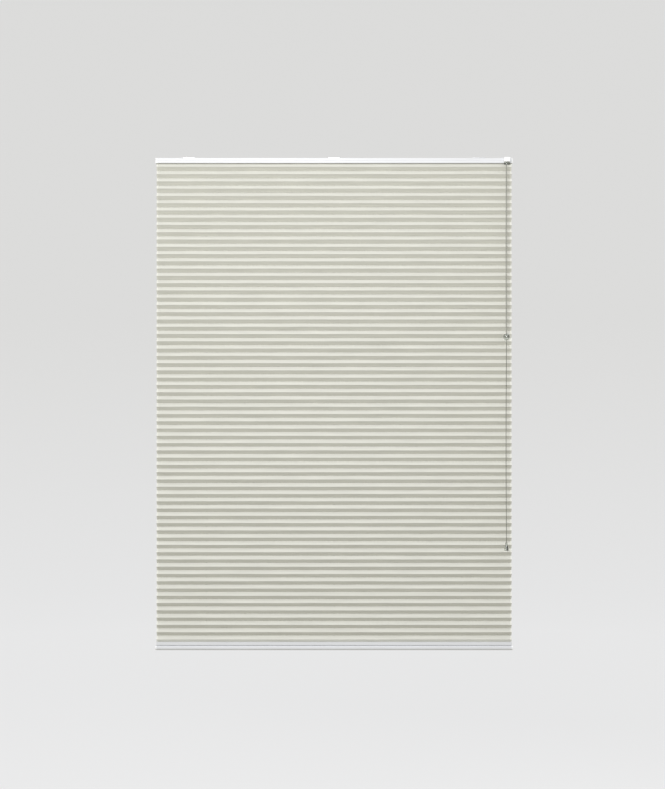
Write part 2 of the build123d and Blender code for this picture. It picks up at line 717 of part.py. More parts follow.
def turned(profile):
    """A solid of revolution about the pull cord's line from (radius, z) points."""
    wire = Wire.make_polygon([Vector(r, 0, z) for r, z in profile], close=True)
    solid = revolve(Face(wire), Axis.Z)
    return Pos(EXIT_X, EXIT_Y, 0) * solid


def egg_radius(radius, z):
    """The radius, at a height above the middle, of an egg as tall as the connector."""
    half = CONNECTOR_HEIGHT / 2 * radius / CONNECTOR_R
    return radius * math.sqrt(1 - (z / half) ** 2)


def connector_half(high, low):
    """The stretch of the connector's egg between two levels, hollow inside."""
    squeeze = CONNECTOR_HEIGHT / (2 * CONNECTOR_R)
    egg = scale(Sphere(CONNECTOR_R), (1, 1, squeeze))
    core = scale(Sphere(CONNECTOR_R - CONNECTOR_WALL), (1, 1, squeeze))
    reach = CONNECTOR_R + 1
    band = box(-reach, reach, -reach, reach, low, high)
    return (egg - core) & band


def connector_cap():
    """The upper half, slotted for the three strands."""
    cap = connector_half(CONNECTOR_HEIGHT, CONNECTOR_SPLIT)
    mouth = strand_mouth(MOUTH_MARGIN, CONNECTOR_Z, CONNECTOR_Z + CONNECTOR_HEIGHT)
    return Pos(EXIT_X, EXIT_Y, CONNECTOR_Z) * cap - mouth


def connector_body():
    """The lower half, with a spigot that the cap snaps over and a hole for the pull cord."""
    body = connector_half(CONNECTOR_SPLIT, -CONNECTOR_HEIGHT)
    spigot_top = CONNECTOR_SPLIT + SPIGOT_HEIGHT
    spigot_r = egg_radius(CONNECTOR_R - CONNECTOR_WALL, spigot_top) - SPIGOT_PLAY
    root_r = CONNECTOR_R - CONNECTOR_WALL / 2
    body += upright(0, 0, root_r, CONNECTOR_SPLIT - SPIGOT_HEIGHT, CONNECTOR_SPLIT)
    body += upright(0, 0, spigot_r, CONNECTOR_SPLIT, spigot_top)
    body -= upright(0, 0, spigot_r - SPIGOT_WALL, 0, spigot_top + 1)
    body -= upright(0, 0, PULL_HOLE_R, -CONNECTOR_HEIGHT, 0)
    return Pos(EXIT_X, EXIT_Y, CONNECTOR_Z) * body


def tassel():
    """The bell that the pull cord hangs by, hollow and open below."""
    top, bottom = TASSEL_TOP_Z, TASSEL_TOP_Z - TASSEL_HEIGHT
    neck_z, flare_z = top - TASSEL_NECK_HEIGHT, bottom + TASSEL_FLARE_HEIGHT
    outside = [
        (PULL_HOLE_R, top),
        (TASSEL_TOP_R - TASSEL_EDGE, top),
        (TASSEL_TOP_R, top - TASSEL_EDGE),
        (TASSEL_NECK_R, neck_z),
        (TASSEL_FLARE_R, flare_z),
        (TASSEL_R, bottom + TASSEL_RIM_HEIGHT),
        (TASSEL_R - TASSEL_EDGE, bottom),
    ]
    inside = [
        (TASSEL_R - TASSEL_WALL, bottom),
        (TASSEL_FLARE_R - TASSEL_WALL, flare_z),
        (KNOT_R + SIDE_PLAY, neck_z),
        (KNOT_R + SIDE_PLAY, top - TASSEL_WALL),
        (PULL_HOLE_R, top - TASSEL_WALL),
    ]
    return turned(outside + inside)


# ---- bottom rail ----


def rail_body_outline():
    """The rounded lower part of the bottom rail's section."""
    half = RAIL_BODY_DEPTH / 2
    corners = [
        (half, RAIL_BODY_TOP_Z), (half, RAIL_BOTTOM_Z),
        (-half, RAIL_BOTTOM_Z), (-half, RAIL_BODY_TOP_Z),
    ]
    return rounded(corners, RAIL_TOP_EDGE, RAIL_LOW_EDGE)


def rounded(corners, top_edge, low_edge):
    """A face in the YZ plane with its upper and lower corners rounded."""
    face = Face(section(corners))
    ordered = face.vertices().group_by(Axis.Z)
    face = fillet(ordered[-1], top_edge).face()
    return fillet(face.vertices().group_by(Axis.Z)[0], low_edge).face()


def bottom_rail():
    """The extrusion: slat slot on top, a flat band, a groove and the rounded body."""
    band, groove = RAIL_BAND_DEPTH / 2, RAIL_GROOVE_DEPTH / 2
    length = Vector(CLOTH_WIDTH, 0, 0)
    body = Solid.extrude(rail_body_outline(), length)
    groove_top = RAIL_TOP_Z - RAIL_BAND_HEIGHT
    upper = mirrored(
        [
            (band, RAIL_TOP_Z),
            (band, groove_top),
            (groove, groove_top),
            (groove, RAIL_BODY_TOP_Z - 1),
        ]
    )
    rail = extruded(upper) + body
    slot_top = RAIL_TOP_Z - LIP_THICKNESS
    slot_floor = slot_top - SLAT_SLOT_HEIGHT
    hollow_top = slot_floor - RAIL_WALL
    cloth_slot = CLOTH_SLOT_WIDTH / 2
    body_half = RAIL_BODY_DEPTH / 2 - RAIL_WALL
    rail -= box(-END_X, END_X, -band + RAIL_WALL, band - RAIL_WALL, slot_floor, slot_top)
    rail -= box(-END_X, END_X, -cloth_slot, cloth_slot, slot_top, RAIL_TOP_Z)
    rail -= extruded(
        mirrored(
            [
                (band - RAIL_WALL, hollow_top),
                (band - RAIL_WALL, groove_top + RAIL_WALL),
                (groove - RAIL_WALL, groove_top + RAIL_WALL),
                (groove - RAIL_WALL, RAIL_BODY_TOP_Z - RAIL_WALL - 1),
            ]
        )
    )
    lower = rounded(
        [
            (body_half, RAIL_BODY_TOP_Z - RAIL_WALL), (body_half, RAIL_BOTTOM_Z + RAIL_WALL),
            (-body_half, RAIL_BOTTOM_Z + RAIL_WALL), (-body_half, RAIL_BODY_TOP_Z - RAIL_WALL),
        ],
        RAIL_TOP_EDGE - RAIL_WALL,
        RAIL_LOW_EDGE - RAIL_WALL,
    )
    rail -= Solid.extrude(lower, length)
    for x in STATIONS.values():
        rail -= upright(x, 0, SLAT_HOLE_R, RAIL_TOP_Z - RAIL_BAND_HEIGHT, RAIL_TOP_Z)
        rail -= upright(x, 0, PLUG_R, RAIL_BOTTOM_Z - 1, RAIL_BOTTOM_Z + 2 * RAIL_WALL)
    return rail


def rail_cap(side):
    """An end cap on the rail's rounded body: a crowned plate and a plug inside."""
    plate = Solid.extrude(rail_body_outline(), Vector(RAIL_CAP_THICKNESS, 0, 0))
    plate = Pos(2 * END_X, 0, 0) * plate
    plate = fillet(plate.edges().group_by(Axis.X)[-1], RAIL_CAP_EDGE)
    half = RAIL_BODY_DEPTH / 2 - RAIL_WALL - PLUG_PLAY - RAIL_LOW_EDGE
    low = RAIL_BOTTOM_Z + RAIL_WALL + PLUG_PLAY
    high = RAIL_BODY_TOP_Z - RAIL_WALL - PLUG_PLAY
    plug = box(END_X - RAIL_CAP_PLUG, END_X, -half, half, low, high)
    core = box(
        END_X - RAIL_CAP_PLUG - 1, END_X,
        -half + RAIL_WALL, half - RAIL_WALL,
        low + RAIL_WALL, high - RAIL_WALL,
    )
    cap = plate + (plug - core)
    return cap if side > 0 else mirror(cap, about=Plane.YZ)


def cord_plug(x):
    """The button in the rail's underside that a lift cord is knotted behind."""
    top = RAIL_BOTTOM_Z + PLUG_HEIGHT
    plug = upright(x, 0, PLUG_R, RAIL_BOTTOM_Z, top)
    flange = upright(x, 0, PLUG_FLANGE_R, RAIL_BOTTOM_Z - PLUG_FLANGE, RAIL_BOTTOM_Z)
    flange = fillet(flange.edges().filter_by(GeomType.CIRCLE).group_by(Axis.Z)[0], PLUG_EDGE)
    plug += flange
    plug -= upright(x, 0, PLUG_R - PLUG_WALL, RAIL_BOTTOM_Z - PLUG_FLANGE - 1, top - PLUG_WALL)
    return plug - upright(x, 0, CORD_R + 2 * SIDE_PLAY, top - 2 * PLUG_WALL, top + 1)


def parts():
    """Every piece of the blind, by name."""
    made = {
        "headrail": headrail(),
        "head_cap_left": head_cap(-1),
        "head_cap_right": head_cap(1),
        "top_slat": slat(HEAD_BOTTOM_Z, 1),
        "cell_cloth": cell_cloth(),
        "bottom_slat": slat(RAIL_TOP_Z, -1),
        "bottom_rail": bottom_rail(),
        "rail_cap_left": rail_cap(-1),
        "rail_cap_right": rail_cap(1),
        "lock_housing": lock_housing(),
        "lock_hood": lock_hood(),
        "lock_dog": lock_dog(),
        "dog_pin": lock_pin(DOG_X, DOG_Y),
        "lock_pulley": lock_pulley(),
        "pulley_pin": lock_pin(PULLEY_X, PULLEY_Y),
        "nose_roller": nose_roller(),
        "nose_axle": nose_axle(),
        "exit_bushing": exit_bushing(),
        "connector_cap": connector_cap(),
        "connector_body": connector_body(),
        "pull_cord": pull_cord(),
        "tassel": tassel(),
    }
    for name, x in STATIONS.items():
        made[f"cord_guide_{name}"] = cord_guide(x)
        made[f"guide_axle_{name}"] = guide_axle(x)
        made[f"guide_roller_{name}"] = guide_roller(x)
        made[f"lift_cord_{name}"] = lift_cord(name)
        made[f"pull_strand_{name}"] = pull_strand(name)
        made[f"cord_plug_{name}"] = cord_plug(x)
    for name, x in BRACKETS.items():
        made[f"bracket_plate_{name}"] = bracket_plate(x)
        made[f"bracket_rivet_{name}"] = bracket_rivet(x)
        made[f"bracket_lever_{name}"] = bracket_lever(x)
    return made


os.makedirs("parts", exist_ok=True)
for node, shape in parts().items():
    export_step(shape, f"parts/{node}.step")
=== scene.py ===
import math

import bpy
import numpy as np
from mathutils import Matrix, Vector


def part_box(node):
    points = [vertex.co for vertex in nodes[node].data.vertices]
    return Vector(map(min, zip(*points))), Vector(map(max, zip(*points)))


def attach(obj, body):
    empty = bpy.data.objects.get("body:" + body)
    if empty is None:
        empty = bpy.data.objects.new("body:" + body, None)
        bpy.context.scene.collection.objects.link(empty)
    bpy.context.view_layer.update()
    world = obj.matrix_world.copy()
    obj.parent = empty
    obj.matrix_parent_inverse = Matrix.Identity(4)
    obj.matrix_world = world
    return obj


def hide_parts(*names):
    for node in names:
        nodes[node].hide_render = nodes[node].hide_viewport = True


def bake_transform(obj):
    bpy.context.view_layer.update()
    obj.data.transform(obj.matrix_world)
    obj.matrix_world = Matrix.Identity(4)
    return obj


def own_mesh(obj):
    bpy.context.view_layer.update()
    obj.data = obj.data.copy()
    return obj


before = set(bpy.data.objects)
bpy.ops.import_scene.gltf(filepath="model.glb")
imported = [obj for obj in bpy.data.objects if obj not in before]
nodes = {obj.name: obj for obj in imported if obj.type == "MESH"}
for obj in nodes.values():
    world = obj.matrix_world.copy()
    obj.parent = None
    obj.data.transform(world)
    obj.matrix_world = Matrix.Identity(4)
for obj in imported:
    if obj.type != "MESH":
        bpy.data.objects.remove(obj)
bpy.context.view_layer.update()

# A pleated blind, let down, in the row's frame: X across, front towards -Y, +Z up, metres.
# Its origin is the centre of the plane that the ceiling brackets are screwed to.


def placed(name, data):
    """An object with this data, in the scene."""
    obj = bpy.data.objects.new(name, data)
    bpy.context.scene.collection.objects.link(obj)
    return obj


# ---- sizes from the frame ----


def rounded(corner):
    """A corner's coordinates to a hundredth of a millimetre."""
    return tuple(round(v, 5) for v in corner)


def low_corner(node):
    return rounded(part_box(node)[0])


def high_corner(node):
    return rounded(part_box(node)[1])


def mid_point(node):
    low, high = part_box(node)
    return rounded((low + high) / 2)


X, Y, Z = 0, 1, 2
END_X = high_corner("cell_cloth")[X]
HEAD_BOTTOM = low_corner("headrail")[Z]
RAIL_TOP = high_corner("bottom_rail")[Z]
# the strands hang in one plane, and start at the height where the lift cords end
EXIT_Y = mid_point("pull_cord")[Y]
HANDOVER_Z = high_corner("pull_strand_centre")[Z]
# the three places along X where a lift cord goes down through the cloth
STATIONS = {side: mid_point(f"cord_plug_{side}")[X] for side in ("left", "centre", "right")}


# ---- camera ----

CAMERA_PLACE = (-0.0055, -4.9, -0.972)
LENS_MM = 64.83
SENSOR_MM = 36.0
SHIFT_UP = 0.058  # as a share of the picture's longer side


def make_camera():
    """A level camera in front, a little below the blind's middle, shifted up to frame it."""
    data = bpy.data.cameras.new("camera")
    data.lens = LENS_MM
    data.sensor_width = SENSOR_MM
    data.shift_y = SHIFT_UP
    camera = placed("camera", data)
    camera.location = CAMERA_PLACE
    camera.rotation_euler = (math.radians(90), 0, 0)
    bpy.context.scene.camera = camera


make_camera()


# ---- materials ----


class Paint:
    """A node material in the making: a principled shader, and ways to feed it."""

    def __init__(self, name, color, roughness):
        self.material = bpy.data.materials.new(name)
        self.material.use_nodes = True
        self.tree = self.material.node_tree
        self.shader = self.tree.nodes["Principled BSDF"]
        self.output = self.tree.nodes["Material Output"]
        self.shader.inputs["Base Color"].default_value = (*color, 1)
        self.shader.inputs["Roughness"].default_value = roughness
        self.roughness = roughness
        self.place = self.tree.nodes.new("ShaderNodeTexCoord").outputs["Object"]

    def link(self, out, into):
        self.tree.links.new(out, into)

    def node(self, kind, **settings):
        made = self.tree.nodes.new(kind)
        for key, value in settings.items():
            setattr(made, key, value)
        return made

    def stretched(self, x, y, z):
        """The object's coordinates, each times its own number per metre."""
        scale = self.node("ShaderNodeMapping")
        scale.inputs["Scale"].default_value = (x, y, z)
        self.link(self.place, scale.inputs["Vector"])
        return scale.outputs["Vector"]

    def noise(self, vector, detail):
        noise = self.node("ShaderNodeTexNoise")
        noise.inputs["Scale"].default_value = 1.0
        noise.inputs["Detail"].default_value = detail
        self.link(vector, noise.inputs["Vector"])
        return noise.outputs["Fac"]

    def ranged(self, value, start=0.3, end=0.7, low=0.0, high=1.0):
        """A value from start to end, spread from low to high."""
        ranged = self.node("ShaderNodeMapRange")
        ranged.inputs["From Min"].default_value = start
        ranged.inputs["From Max"].default_value = end
        ranged.inputs["To Min"].default_value = low
        ranged.inputs["To Max"].default_value = high
        self.link(value, ranged.inputs["Value"])
        return ranged.outputs["Result"]

    def tint(self, value, low, high):
        """The base colour goes from one colour to the other with a value."""
        mix = self.node("ShaderNodeMix", data_type="RGBA")
        mix.inputs["A"].default_value = (*low, 1)
        mix.inputs["B"].default_value = (*high, 1)
        self.link(value, mix.inputs["Factor"])
        self.link(mix.outputs["Result"], self.shader.inputs["Base Color"])
        return mix.outputs["Result"]

    def reach(self, vector, axis):
        """How large a vector is along one axis, either way."""
        split = self.node("ShaderNodeSeparateXYZ")
        size = self.node("ShaderNodeMath", operation="ABSOLUTE")
        self.link(vector, split.inputs["Vector"])
        self.link(split.outputs[axis], size.inputs[0])
        return size.outputs["Value"]

    def lighten(self, base, value, factor):
        """The base colour grows up to factor times lighter with a value."""
        light = self.node("ShaderNodeMix", data_type="RGBA", blend_type="MULTIPLY")
        light.inputs["B"].default_value = (factor, factor, factor, 1)
        self.link(value, light.inputs["Factor"])
        self.link(base, light.inputs["A"])
        self.link(light.outputs["Result"], self.shader.inputs["Base Color"])
        return light.outputs["Result"]

    def fade(self, base, value, color):
        """The base colour fades into another colour with a value."""
        fade = self.node("ShaderNodeMix", data_type="RGBA")
        fade.inputs["B"].default_value = (*color, 1)
        self.link(value, fade.inputs["Factor"])
        self.link(base, fade.inputs["A"])
        self.link(fade.outputs["Result"], self.shader.inputs["Base Color"])

    def vary_roughness(self, value, spread):
        """The roughness goes by spread to either side of its middle with a value."""
        low, high = self.roughness - spread, self.roughness + spread
        self.link(self.ranged(value, low=low, high=high), self.shader.inputs["Roughness"])

    def bump(self, value, height, strength):
        """Height in metres that the surface rises over the value's range; bumps stack."""
        bump = self.node("ShaderNodeBump")
        bump.inputs["Strength"].default_value = strength
        bump.inputs["Distance"].default_value = height
        self.link(value, bump.inputs["Height"])
        under = self.shader.inputs["Normal"].links
        if under:
            self.link(under[0].from_socket, bump.inputs["Normal"])
        self.link(bump.outputs["Normal"], self.shader.inputs["Normal"])


def shade(color, factor):
    """A colour made darker or lighter."""
    return tuple(min(1.0, c * factor) for c in color)


# painted light: the cloth is painted lighter near its cut edges, standing in for the light that falls on
# them there
EDGE_START = 0.006  # how far inside the edge the cloth starts to get lighter
EDGE_FULL = 0.002  # how far inside the edge it is at its lightest
EDGE_PAINTED_LIGHT = 1.15  # how many times lighter it is there
# painted light: where the cloth lies level, as in a closed stack, it is painted a lighter colour,
# standing in for the light that its many thin layers pass on to each other in place of the shade in its
# folds
STACK_PAINTED_LIGHT = (0.975, 0.973, 0.945)
LEVEL_START = 0.85  # how far the cloth's normal reaches along Z where this colour starts
LEVEL_FULL = 0.98  # and where it is all there is


def cloth_paint():
    """Cream pleated polyester: a fine crepe with long faint streaks along the folds, with painted light
    near its cut edges and where it lies level.
    """
    color = (0.62, 0.617, 0.567)
    paint = Paint("cloth", color, 0.85)
    streak = paint.noise(paint.stretched(9, 160, 160), 4.0)
    streaky = paint.tint(paint.ranged(streak, 0.35, 0.65), shade(color, 0.955), shade(color, 1.035))
    # painted light: lighter towards the cut edges at both ends
    painted_edge_light = paint.ranged(paint.reach(paint.place, "X"), END_X - EDGE_START, END_X - EDGE_FULL)
    edge_lit = paint.lighten(streaky, painted_edge_light, EDGE_PAINTED_LIGHT)
    # painted light: faces that lie level fade into the lighter stack colour
    facing = paint.node("ShaderNodeNewGeometry").outputs["True Normal"]
    paint.fade(edge_lit, paint.ranged(paint.reach(facing, "Z"), LEVEL_START, LEVEL_FULL), STACK_PAINTED_LIGHT)
    crepe = paint.noise(paint.stretched(900, 2100, 2100), 2.0)
    threads = paint.noise(paint.stretched(260, 3600, 3600), 1.0)
    paint.bump(crepe, 0.00012, 0.5)
    paint.bump(threads, 0.0001, 0.35)
    paint.shader.inputs["Specular IOR Level"].default_value = 0.2
    paint.shader.inputs["Sheen Weight"].default_value = 0.12
    paint.shader.inputs["Sheen Roughness"].default_value = 0.5
    return paint.material


def rail_paint():
    """White powder coat on aluminium: orange peel and faint draw lines along X."""
    color = (0.675, 0.685, 0.71)
    paint = Paint("powder_coat", color, 0.42)
    cloudy = paint.noise(paint.stretched(7, 60, 60), 3.0)
    paint.tint(paint.ranged(cloudy), shade(color, 0.975), shade(color, 1.02))
    peel = paint.noise(paint.stretched(900, 900, 900), 2.0)
    draw = paint.noise(paint.stretched(3, 2400, 2400), 1.0)
    paint.bump(peel, 0.00003, 0.35)
    paint.bump(draw, 0.00002, 0.25)
    paint.vary_roughness(cloudy, 0.05)
    paint.shader.inputs["Coat Weight"].default_value = 0.08
    paint.shader.inputs["Coat Roughness"].default_value = 0.12
    return paint.material


def plastic_paint(name, color, roughness, grain):
    """Moulded plastic with a fine spark-eroded grain, still open to more nodes."""
    paint = Paint(name, color, roughness)
    fine = paint.noise(paint.stretched(2600, 2600, 2600), 2.0)
    broad = paint.noise(paint.stretched(90, 90, 90), 3.0)
    paint.tint(paint.ranged(broad), shade(color, 0.965), shade(color, 1.02))
    paint.bump(fine, grain, 0.4)
    paint.vary_roughness(broad, 0.06)
    return paint


def clear_paint(name, smoke_density):
    """Clear acrylic with faint flow marks, and smoke in it that takes light away."""
    color = (0.90, 0.92, 0.91)
    smoke_color = (0.3, 0.31, 0.29)
    paint = Paint(name, color, 0.04)
    flow = paint.noise(paint.stretched(120, 120, 260), 2.0)
    paint.tint(paint.ranged(flow), shade(color, 0.94), shade(color, 1.05))
    paint.bump(flow, 0.0002, 0.3)
    paint.vary_roughness(flow, 0.02)
    paint.shader.inputs["Transmission Weight"].default_value = 1.0
    paint.shader.inputs["IOR"].default_value = 1.49
    smoke = paint.node("ShaderNodeVolumeAbsorption")
    smoke.inputs["Color"].default_value = (*smoke_color, 1)
    smoke.inputs["Density"].default_value = smoke_density
    paint.link(smoke.outputs["Volume"], paint.output.inputs["Volume"])
    return paint.material


def steel_paint():
    """Zinc-plated steel with a faint rolling direction."""
    color = (0.62, 0.63, 0.65)
    paint = Paint("plated_steel", color, 0.32)
    rolled = paint.noise(paint.stretched(60, 1800, 1800), 3.0)
    cloudy = paint.noise(paint.stretched(160, 160, 160), 3.0)
    paint.tint(paint.ranged(cloudy), shade(color, 0.88), shade(color, 1.06))
    paint.bump(rolled, 0.00002, 0.4)
    paint.vary_roughness(rolled, 0.08)
    paint.shader.inputs["Metallic"].default_value = 1.0
    return paint.material


def cord_paint(name, color):
    """Braided polyester cord: two crossing sets of slanting strands."""
    paint = Paint(name, color, 0.75)
    sets = []
    for slant in (1.0, -1.0):
        wave = paint.node("ShaderNodeTexWave", wave_type="BANDS", bands_direction="Z")
        wave.inputs["Scale"].default_value = 1.0
        wave.inputs["Distortion"].default_value = 0.6
        wave.inputs["Detail"].default_value = 1.0
        turn = paint.node("ShaderNodeMapping")
        turn.inputs["Rotation"].default_value = (0, slant * math.radians(38), 0)
        turn.inputs["Scale"].default_value = (900, 900, 900)
        paint.link(paint.place, turn.inputs["Vector"])
        paint.link(turn.outputs["Vector"], wave.inputs["Vector"])
        sets.append(wave.outputs["Fac"])
    strands = paint.node("ShaderNodeMath", operation="MAXIMUM")
    paint.link(sets[0], strands.inputs[0])
    paint.link(sets[1], strands.inputs[1])
    paint.tint(strands.outputs["Value"], shade(color, 0.7), shade(color, 1.25))
    paint.bump(strands.outputs["Value"], 0.0001, 0.6)
    return paint.material


CLOTH = cloth_paint()
RAIL = rail_paint()
CORD = cord_paint("lift_braid", (0.28, 0.278, 0.25))
PULL_CORD = cord_paint("pull_braid", (0.11, 0.108, 0.095))
MELTED = plastic_paint("melted_end", (0.035, 0.034, 0.03), 0.4, 0.00006).material
CLEAR = clear_paint("clear_plastic", 25)
TINTED = clear_paint("tinted_plastic", 60)
SMOKY = clear_paint("smoky_plastic", 90)
STEEL = steel_paint()
WHITE = plastic_paint("white_plastic", (0.90, 0.91, 0.92), 0.3, 0.00002).material
SLAT = plastic_paint("slat_plastic", (0.74, 0.74, 0.71), 0.45, 0.00003).material
MOULDED = plastic_paint("moulded_plastic", (0.60, 0.61, 0.62), 0.5, 0.00004).material

PAINTED = {
    "headrail": RAIL,
    "bottom_rail": RAIL,
    "head_cap": WHITE,
    "rail_cap": WHITE,
    "lock_hood": WHITE,
    "exit_bushing": TINTED,
    "cord_plug": WHITE,
    "slat": SLAT,
    "connector": SMOKY,
    "tassel": CLEAR,
    "pin": STEEL,
    "axle": STEEL,
    "bracket": STEEL,
}


def paint_nodes():
    """Each CAD node gets the first paint whose word is in its name, or else moulded plastic."""
    for name, node in nodes.items():
        paint = next((p for word, p in PAINTED.items() if word in name), MOULDED)
        node.data.materials.clear()
        node.data.materials.append(paint)


paint_nodes()


# ---- cords ----

CORD_R = 0.0006
PULL_R = 0.0009  # of the single pull cord
TAIL_R = 0.0026  # of its melted end
CORD_ROUNDNESS = 3  # Blender's bevel resolution, which is not the number of sides
KNOT_ROUNDNESS = 2
KNOT_STEPS = 48
TREFOIL_REACH = 3  # how far the formula of a trefoil goes from its centre
TREFOIL_DEPTH = 1.6  # how many times deeper than the formula, so that a knot clears itself


def curve_object(name, kind, points):
    """A curve of one spline with these control points, in metres."""
    curve = bpy.data.curves.new(name, "CURVE")
    curve.dimensions = "3D"
    line = curve.splines.new(kind)
    line.points.add(len(points) - 1)
    for point, co in zip(line.points, points):
        point.co = (*co, 1)
    return placed(name, curve)


def followed(curve):
    """The points that a curve with no bevel follows."""
    bpy.context.view_layer.update()
    mesh = bpy.data.meshes.new_from_object(curve)
    line = [tuple(v.co) for v in mesh.vertices]
    bpy.data.meshes.remove(mesh)
    return line


def tube_piece(name, curve, radius, roundness, paint):
    """Turns a curve into a round tube of cord as a mesh piece, smooth but for its flat ends."""
    curve.data.bevel_depth = radius
    curve.data.bevel_resolution = roundness
    bpy.context.view_layer.update()
    mesh = bpy.data.meshes.new_from_object(curve)
    bpy.data.objects.remove(curve)
    for face in mesh.polygons:
        face.use_smooth = len(face.vertices) == 4
    mesh.materials.append(paint)
    piece = placed(name, mesh)
    return piece


def cord_mesh(name, points, radius, paint=CORD):
    """A round cord as a mesh piece, and the points that it follows."""
    curve = curve_object(name + "_line", "NURBS", points)
    curve.data.use_fill_caps = True
    spline = curve.data.splines[0]
    spline.order_u = 3
    spline.use_endpoint_u = True
    spline.resolution_u = 8
    line = followed(curve)
    return tube_piece(name, curve, radius, CORD_ROUNDNESS, paint), line


def knot(name, centre, size, radius, body):
    """An overhand knot pulled tight: a trefoil of cord, size across."""
    grip = (size / 2 - radius) / TREFOIL_REACH
    points = []
    for i in range(KNOT_STEPS):
        t = 2 * math.pi * i / KNOT_STEPS
        x = math.sin(t) + 2 * math.sin(2 * t)
        y = math.cos(t) - 2 * math.cos(2 * t)
        z = -TREFOIL_DEPTH * math.sin(3 * t)
        points.append(Vector(centre) + grip * Vector((x, y, z)))
    curve = curve_object(name + "_line", "POLY", points)
    curve.data.splines[0].use_cyclic_u = True
    piece = tube_piece(name, curve, radius, KNOT_ROUNDNESS, CORD)
    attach(piece, body)
    return piece


# the strands below the lock: from the exit bushing to the knot in the connector
STRAND_ROUTES = {
    "right": [
        (0.589, EXIT_Y, HANDOVER_Z),
        (0.5889, EXIT_Y, -0.12),
        (0.5881, EXIT_Y, -0.36),
        (0.5889, EXIT_Y, -0.56),
        (0.589, EXIT_Y, -0.61495),
    ],
    "centre": [
        (0.5904, EXIT_Y, HANDOVER_Z),
        (0.5904, EXIT_Y, -0.12),
        (0.59, EXIT_Y, -0.36),
        (0.5904, EXIT_Y, -0.56),
        (0.5904, EXIT_Y, -0.618),
    ],
    "left": [
        (0.5918, EXIT_Y, HANDOVER_Z),
        (0.5919, EXIT_Y, -0.12),
        (0.592, EXIT_Y, -0.36),
        (0.5919, EXIT_Y, -0.56),
        (0.5918, EXIT_Y, -0.61495),
    ],
}
strand_knot = knot("strand_knot", STRAND_ROUTES["centre"][-1], size=0.006, radius=0.0008, body="pull_set")
for side, route in STRAND_ROUTES.items():
    strand, line = cord_mesh(f"strand_{side}", route, CORD_R)
    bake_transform(strand)
    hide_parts(f"pull_strand_{side}")

# the single cord from the connector to the tassel, a little bowed as it hangs
PULL_ROUTE = [
    (0.5904, EXIT_Y, -0.6262),
    (0.5903, EXIT_Y, -0.70),
    (0.5892, EXIT_Y, -0.90),
    (0.5893, EXIT_Y, -1.12),
    (0.5904, EXIT_Y, -1.28),
    (0.5904, EXIT_Y, -1.3249),
]
pull_cord, line = cord_mesh("pull_line", PULL_ROUTE, PULL_R, PULL_CORD)
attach(pull_cord, "pull_set")
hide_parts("pull_cord")

# the cord's melted end under the knot in the tassel, bent to one side
TAIL_ROUTE = [
    (0.5909, EXIT_Y, -1.3335),
    (0.5914, EXIT_Y, -1.3370),
    (0.5925, EXIT_Y, -1.3420),
    (0.5933, EXIT_Y, -1.3480),
]
pull_tail, _ = cord_mesh("pull_tail", TAIL_ROUTE, TAIL_R, MELTED)
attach(pull_tail, "pull_set")
pull_knots = [
    pull_tail,
    knot("pull_knot_top", PULL_ROUTE[0], size=0.0044, radius=0.0008, body="pull_set"),
    knot("pull_knot_bottom", (0.5904, EXIT_Y, -1.3255), size=0.0042, radius=0.0008, body="pull_set"),
]

# the lift cords in the headrail: up past the guide roller, along to the lock's
# pulley, round it to the front, over the nose roller and down to the bushing
CORD_Z = -0.00935
HEAD_ROUTES = {
    "right": [
        (0.44, 0, HEAD_BOTTOM),
        (0.44, 0, -0.0166),
        (0.44, 0, CORD_Z),
        (0.4472, 0, CORD_Z),
        (0.485, 0, CORD_Z),
        (0.517, 0.00265, CORD_Z),
        (0.549, 0.00265, CORD_Z),
        (0.5781, 0.00265, CORD_Z),
        (0.589, 0.00265, CORD_Z),
        (0.589, -0.0083, CORD_Z),
        (0.589, -0.0229, CORD_Z),
        (0.589, EXIT_Y, CORD_Z),
        (0.589, EXIT_Y, -0.018),
        (0.589, EXIT_Y, HANDOVER_Z),
    ],
    "centre": [
        (0, 0, HEAD_BOTTOM),
        (0, 0, -0.0166),
        (0, 0, CORD_Z),
        (0.0072, 0, CORD_Z),
        (0.045, 0, CORD_Z),
        (0.109, 0.00405, CORD_Z),
        (0.173, 0.00405, CORD_Z),
        (0.5762, 0.00405, CORD_Z),
        (0.5904, 0.00405, CORD_Z),
        (0.5904, -0.0101, CORD_Z),
        (0.5904, -0.0229, CORD_Z),
        (0.5904, EXIT_Y, CORD_Z),
        (0.5904, EXIT_Y, -0.018),
        (0.5904, EXIT_Y, HANDOVER_Z),
    ],
    "left": [
        (-0.44, 0, HEAD_BOTTOM),
        (-0.44, 0, -0.0166),
        (-0.44, 0, CORD_Z),
        (-0.4328, 0, CORD_Z),
        (-0.395, 0, CORD_Z),
        (-0.299, 0.00545, CORD_Z),
        (-0.203, 0.00545, CORD_Z),
        (0.5743, 0.00545, CORD_Z),
        (0.5918, 0.00545, CORD_Z),
        (0.5918, -0.0116, CORD_Z),
        (0.5918, -0.0229, CORD_Z),
        (0.5918, EXIT_Y, CORD_Z),
        (0.5918, EXIT_Y, -0.018),
        (0.5918, EXIT_Y, HANDOVER_Z),
    ],
}

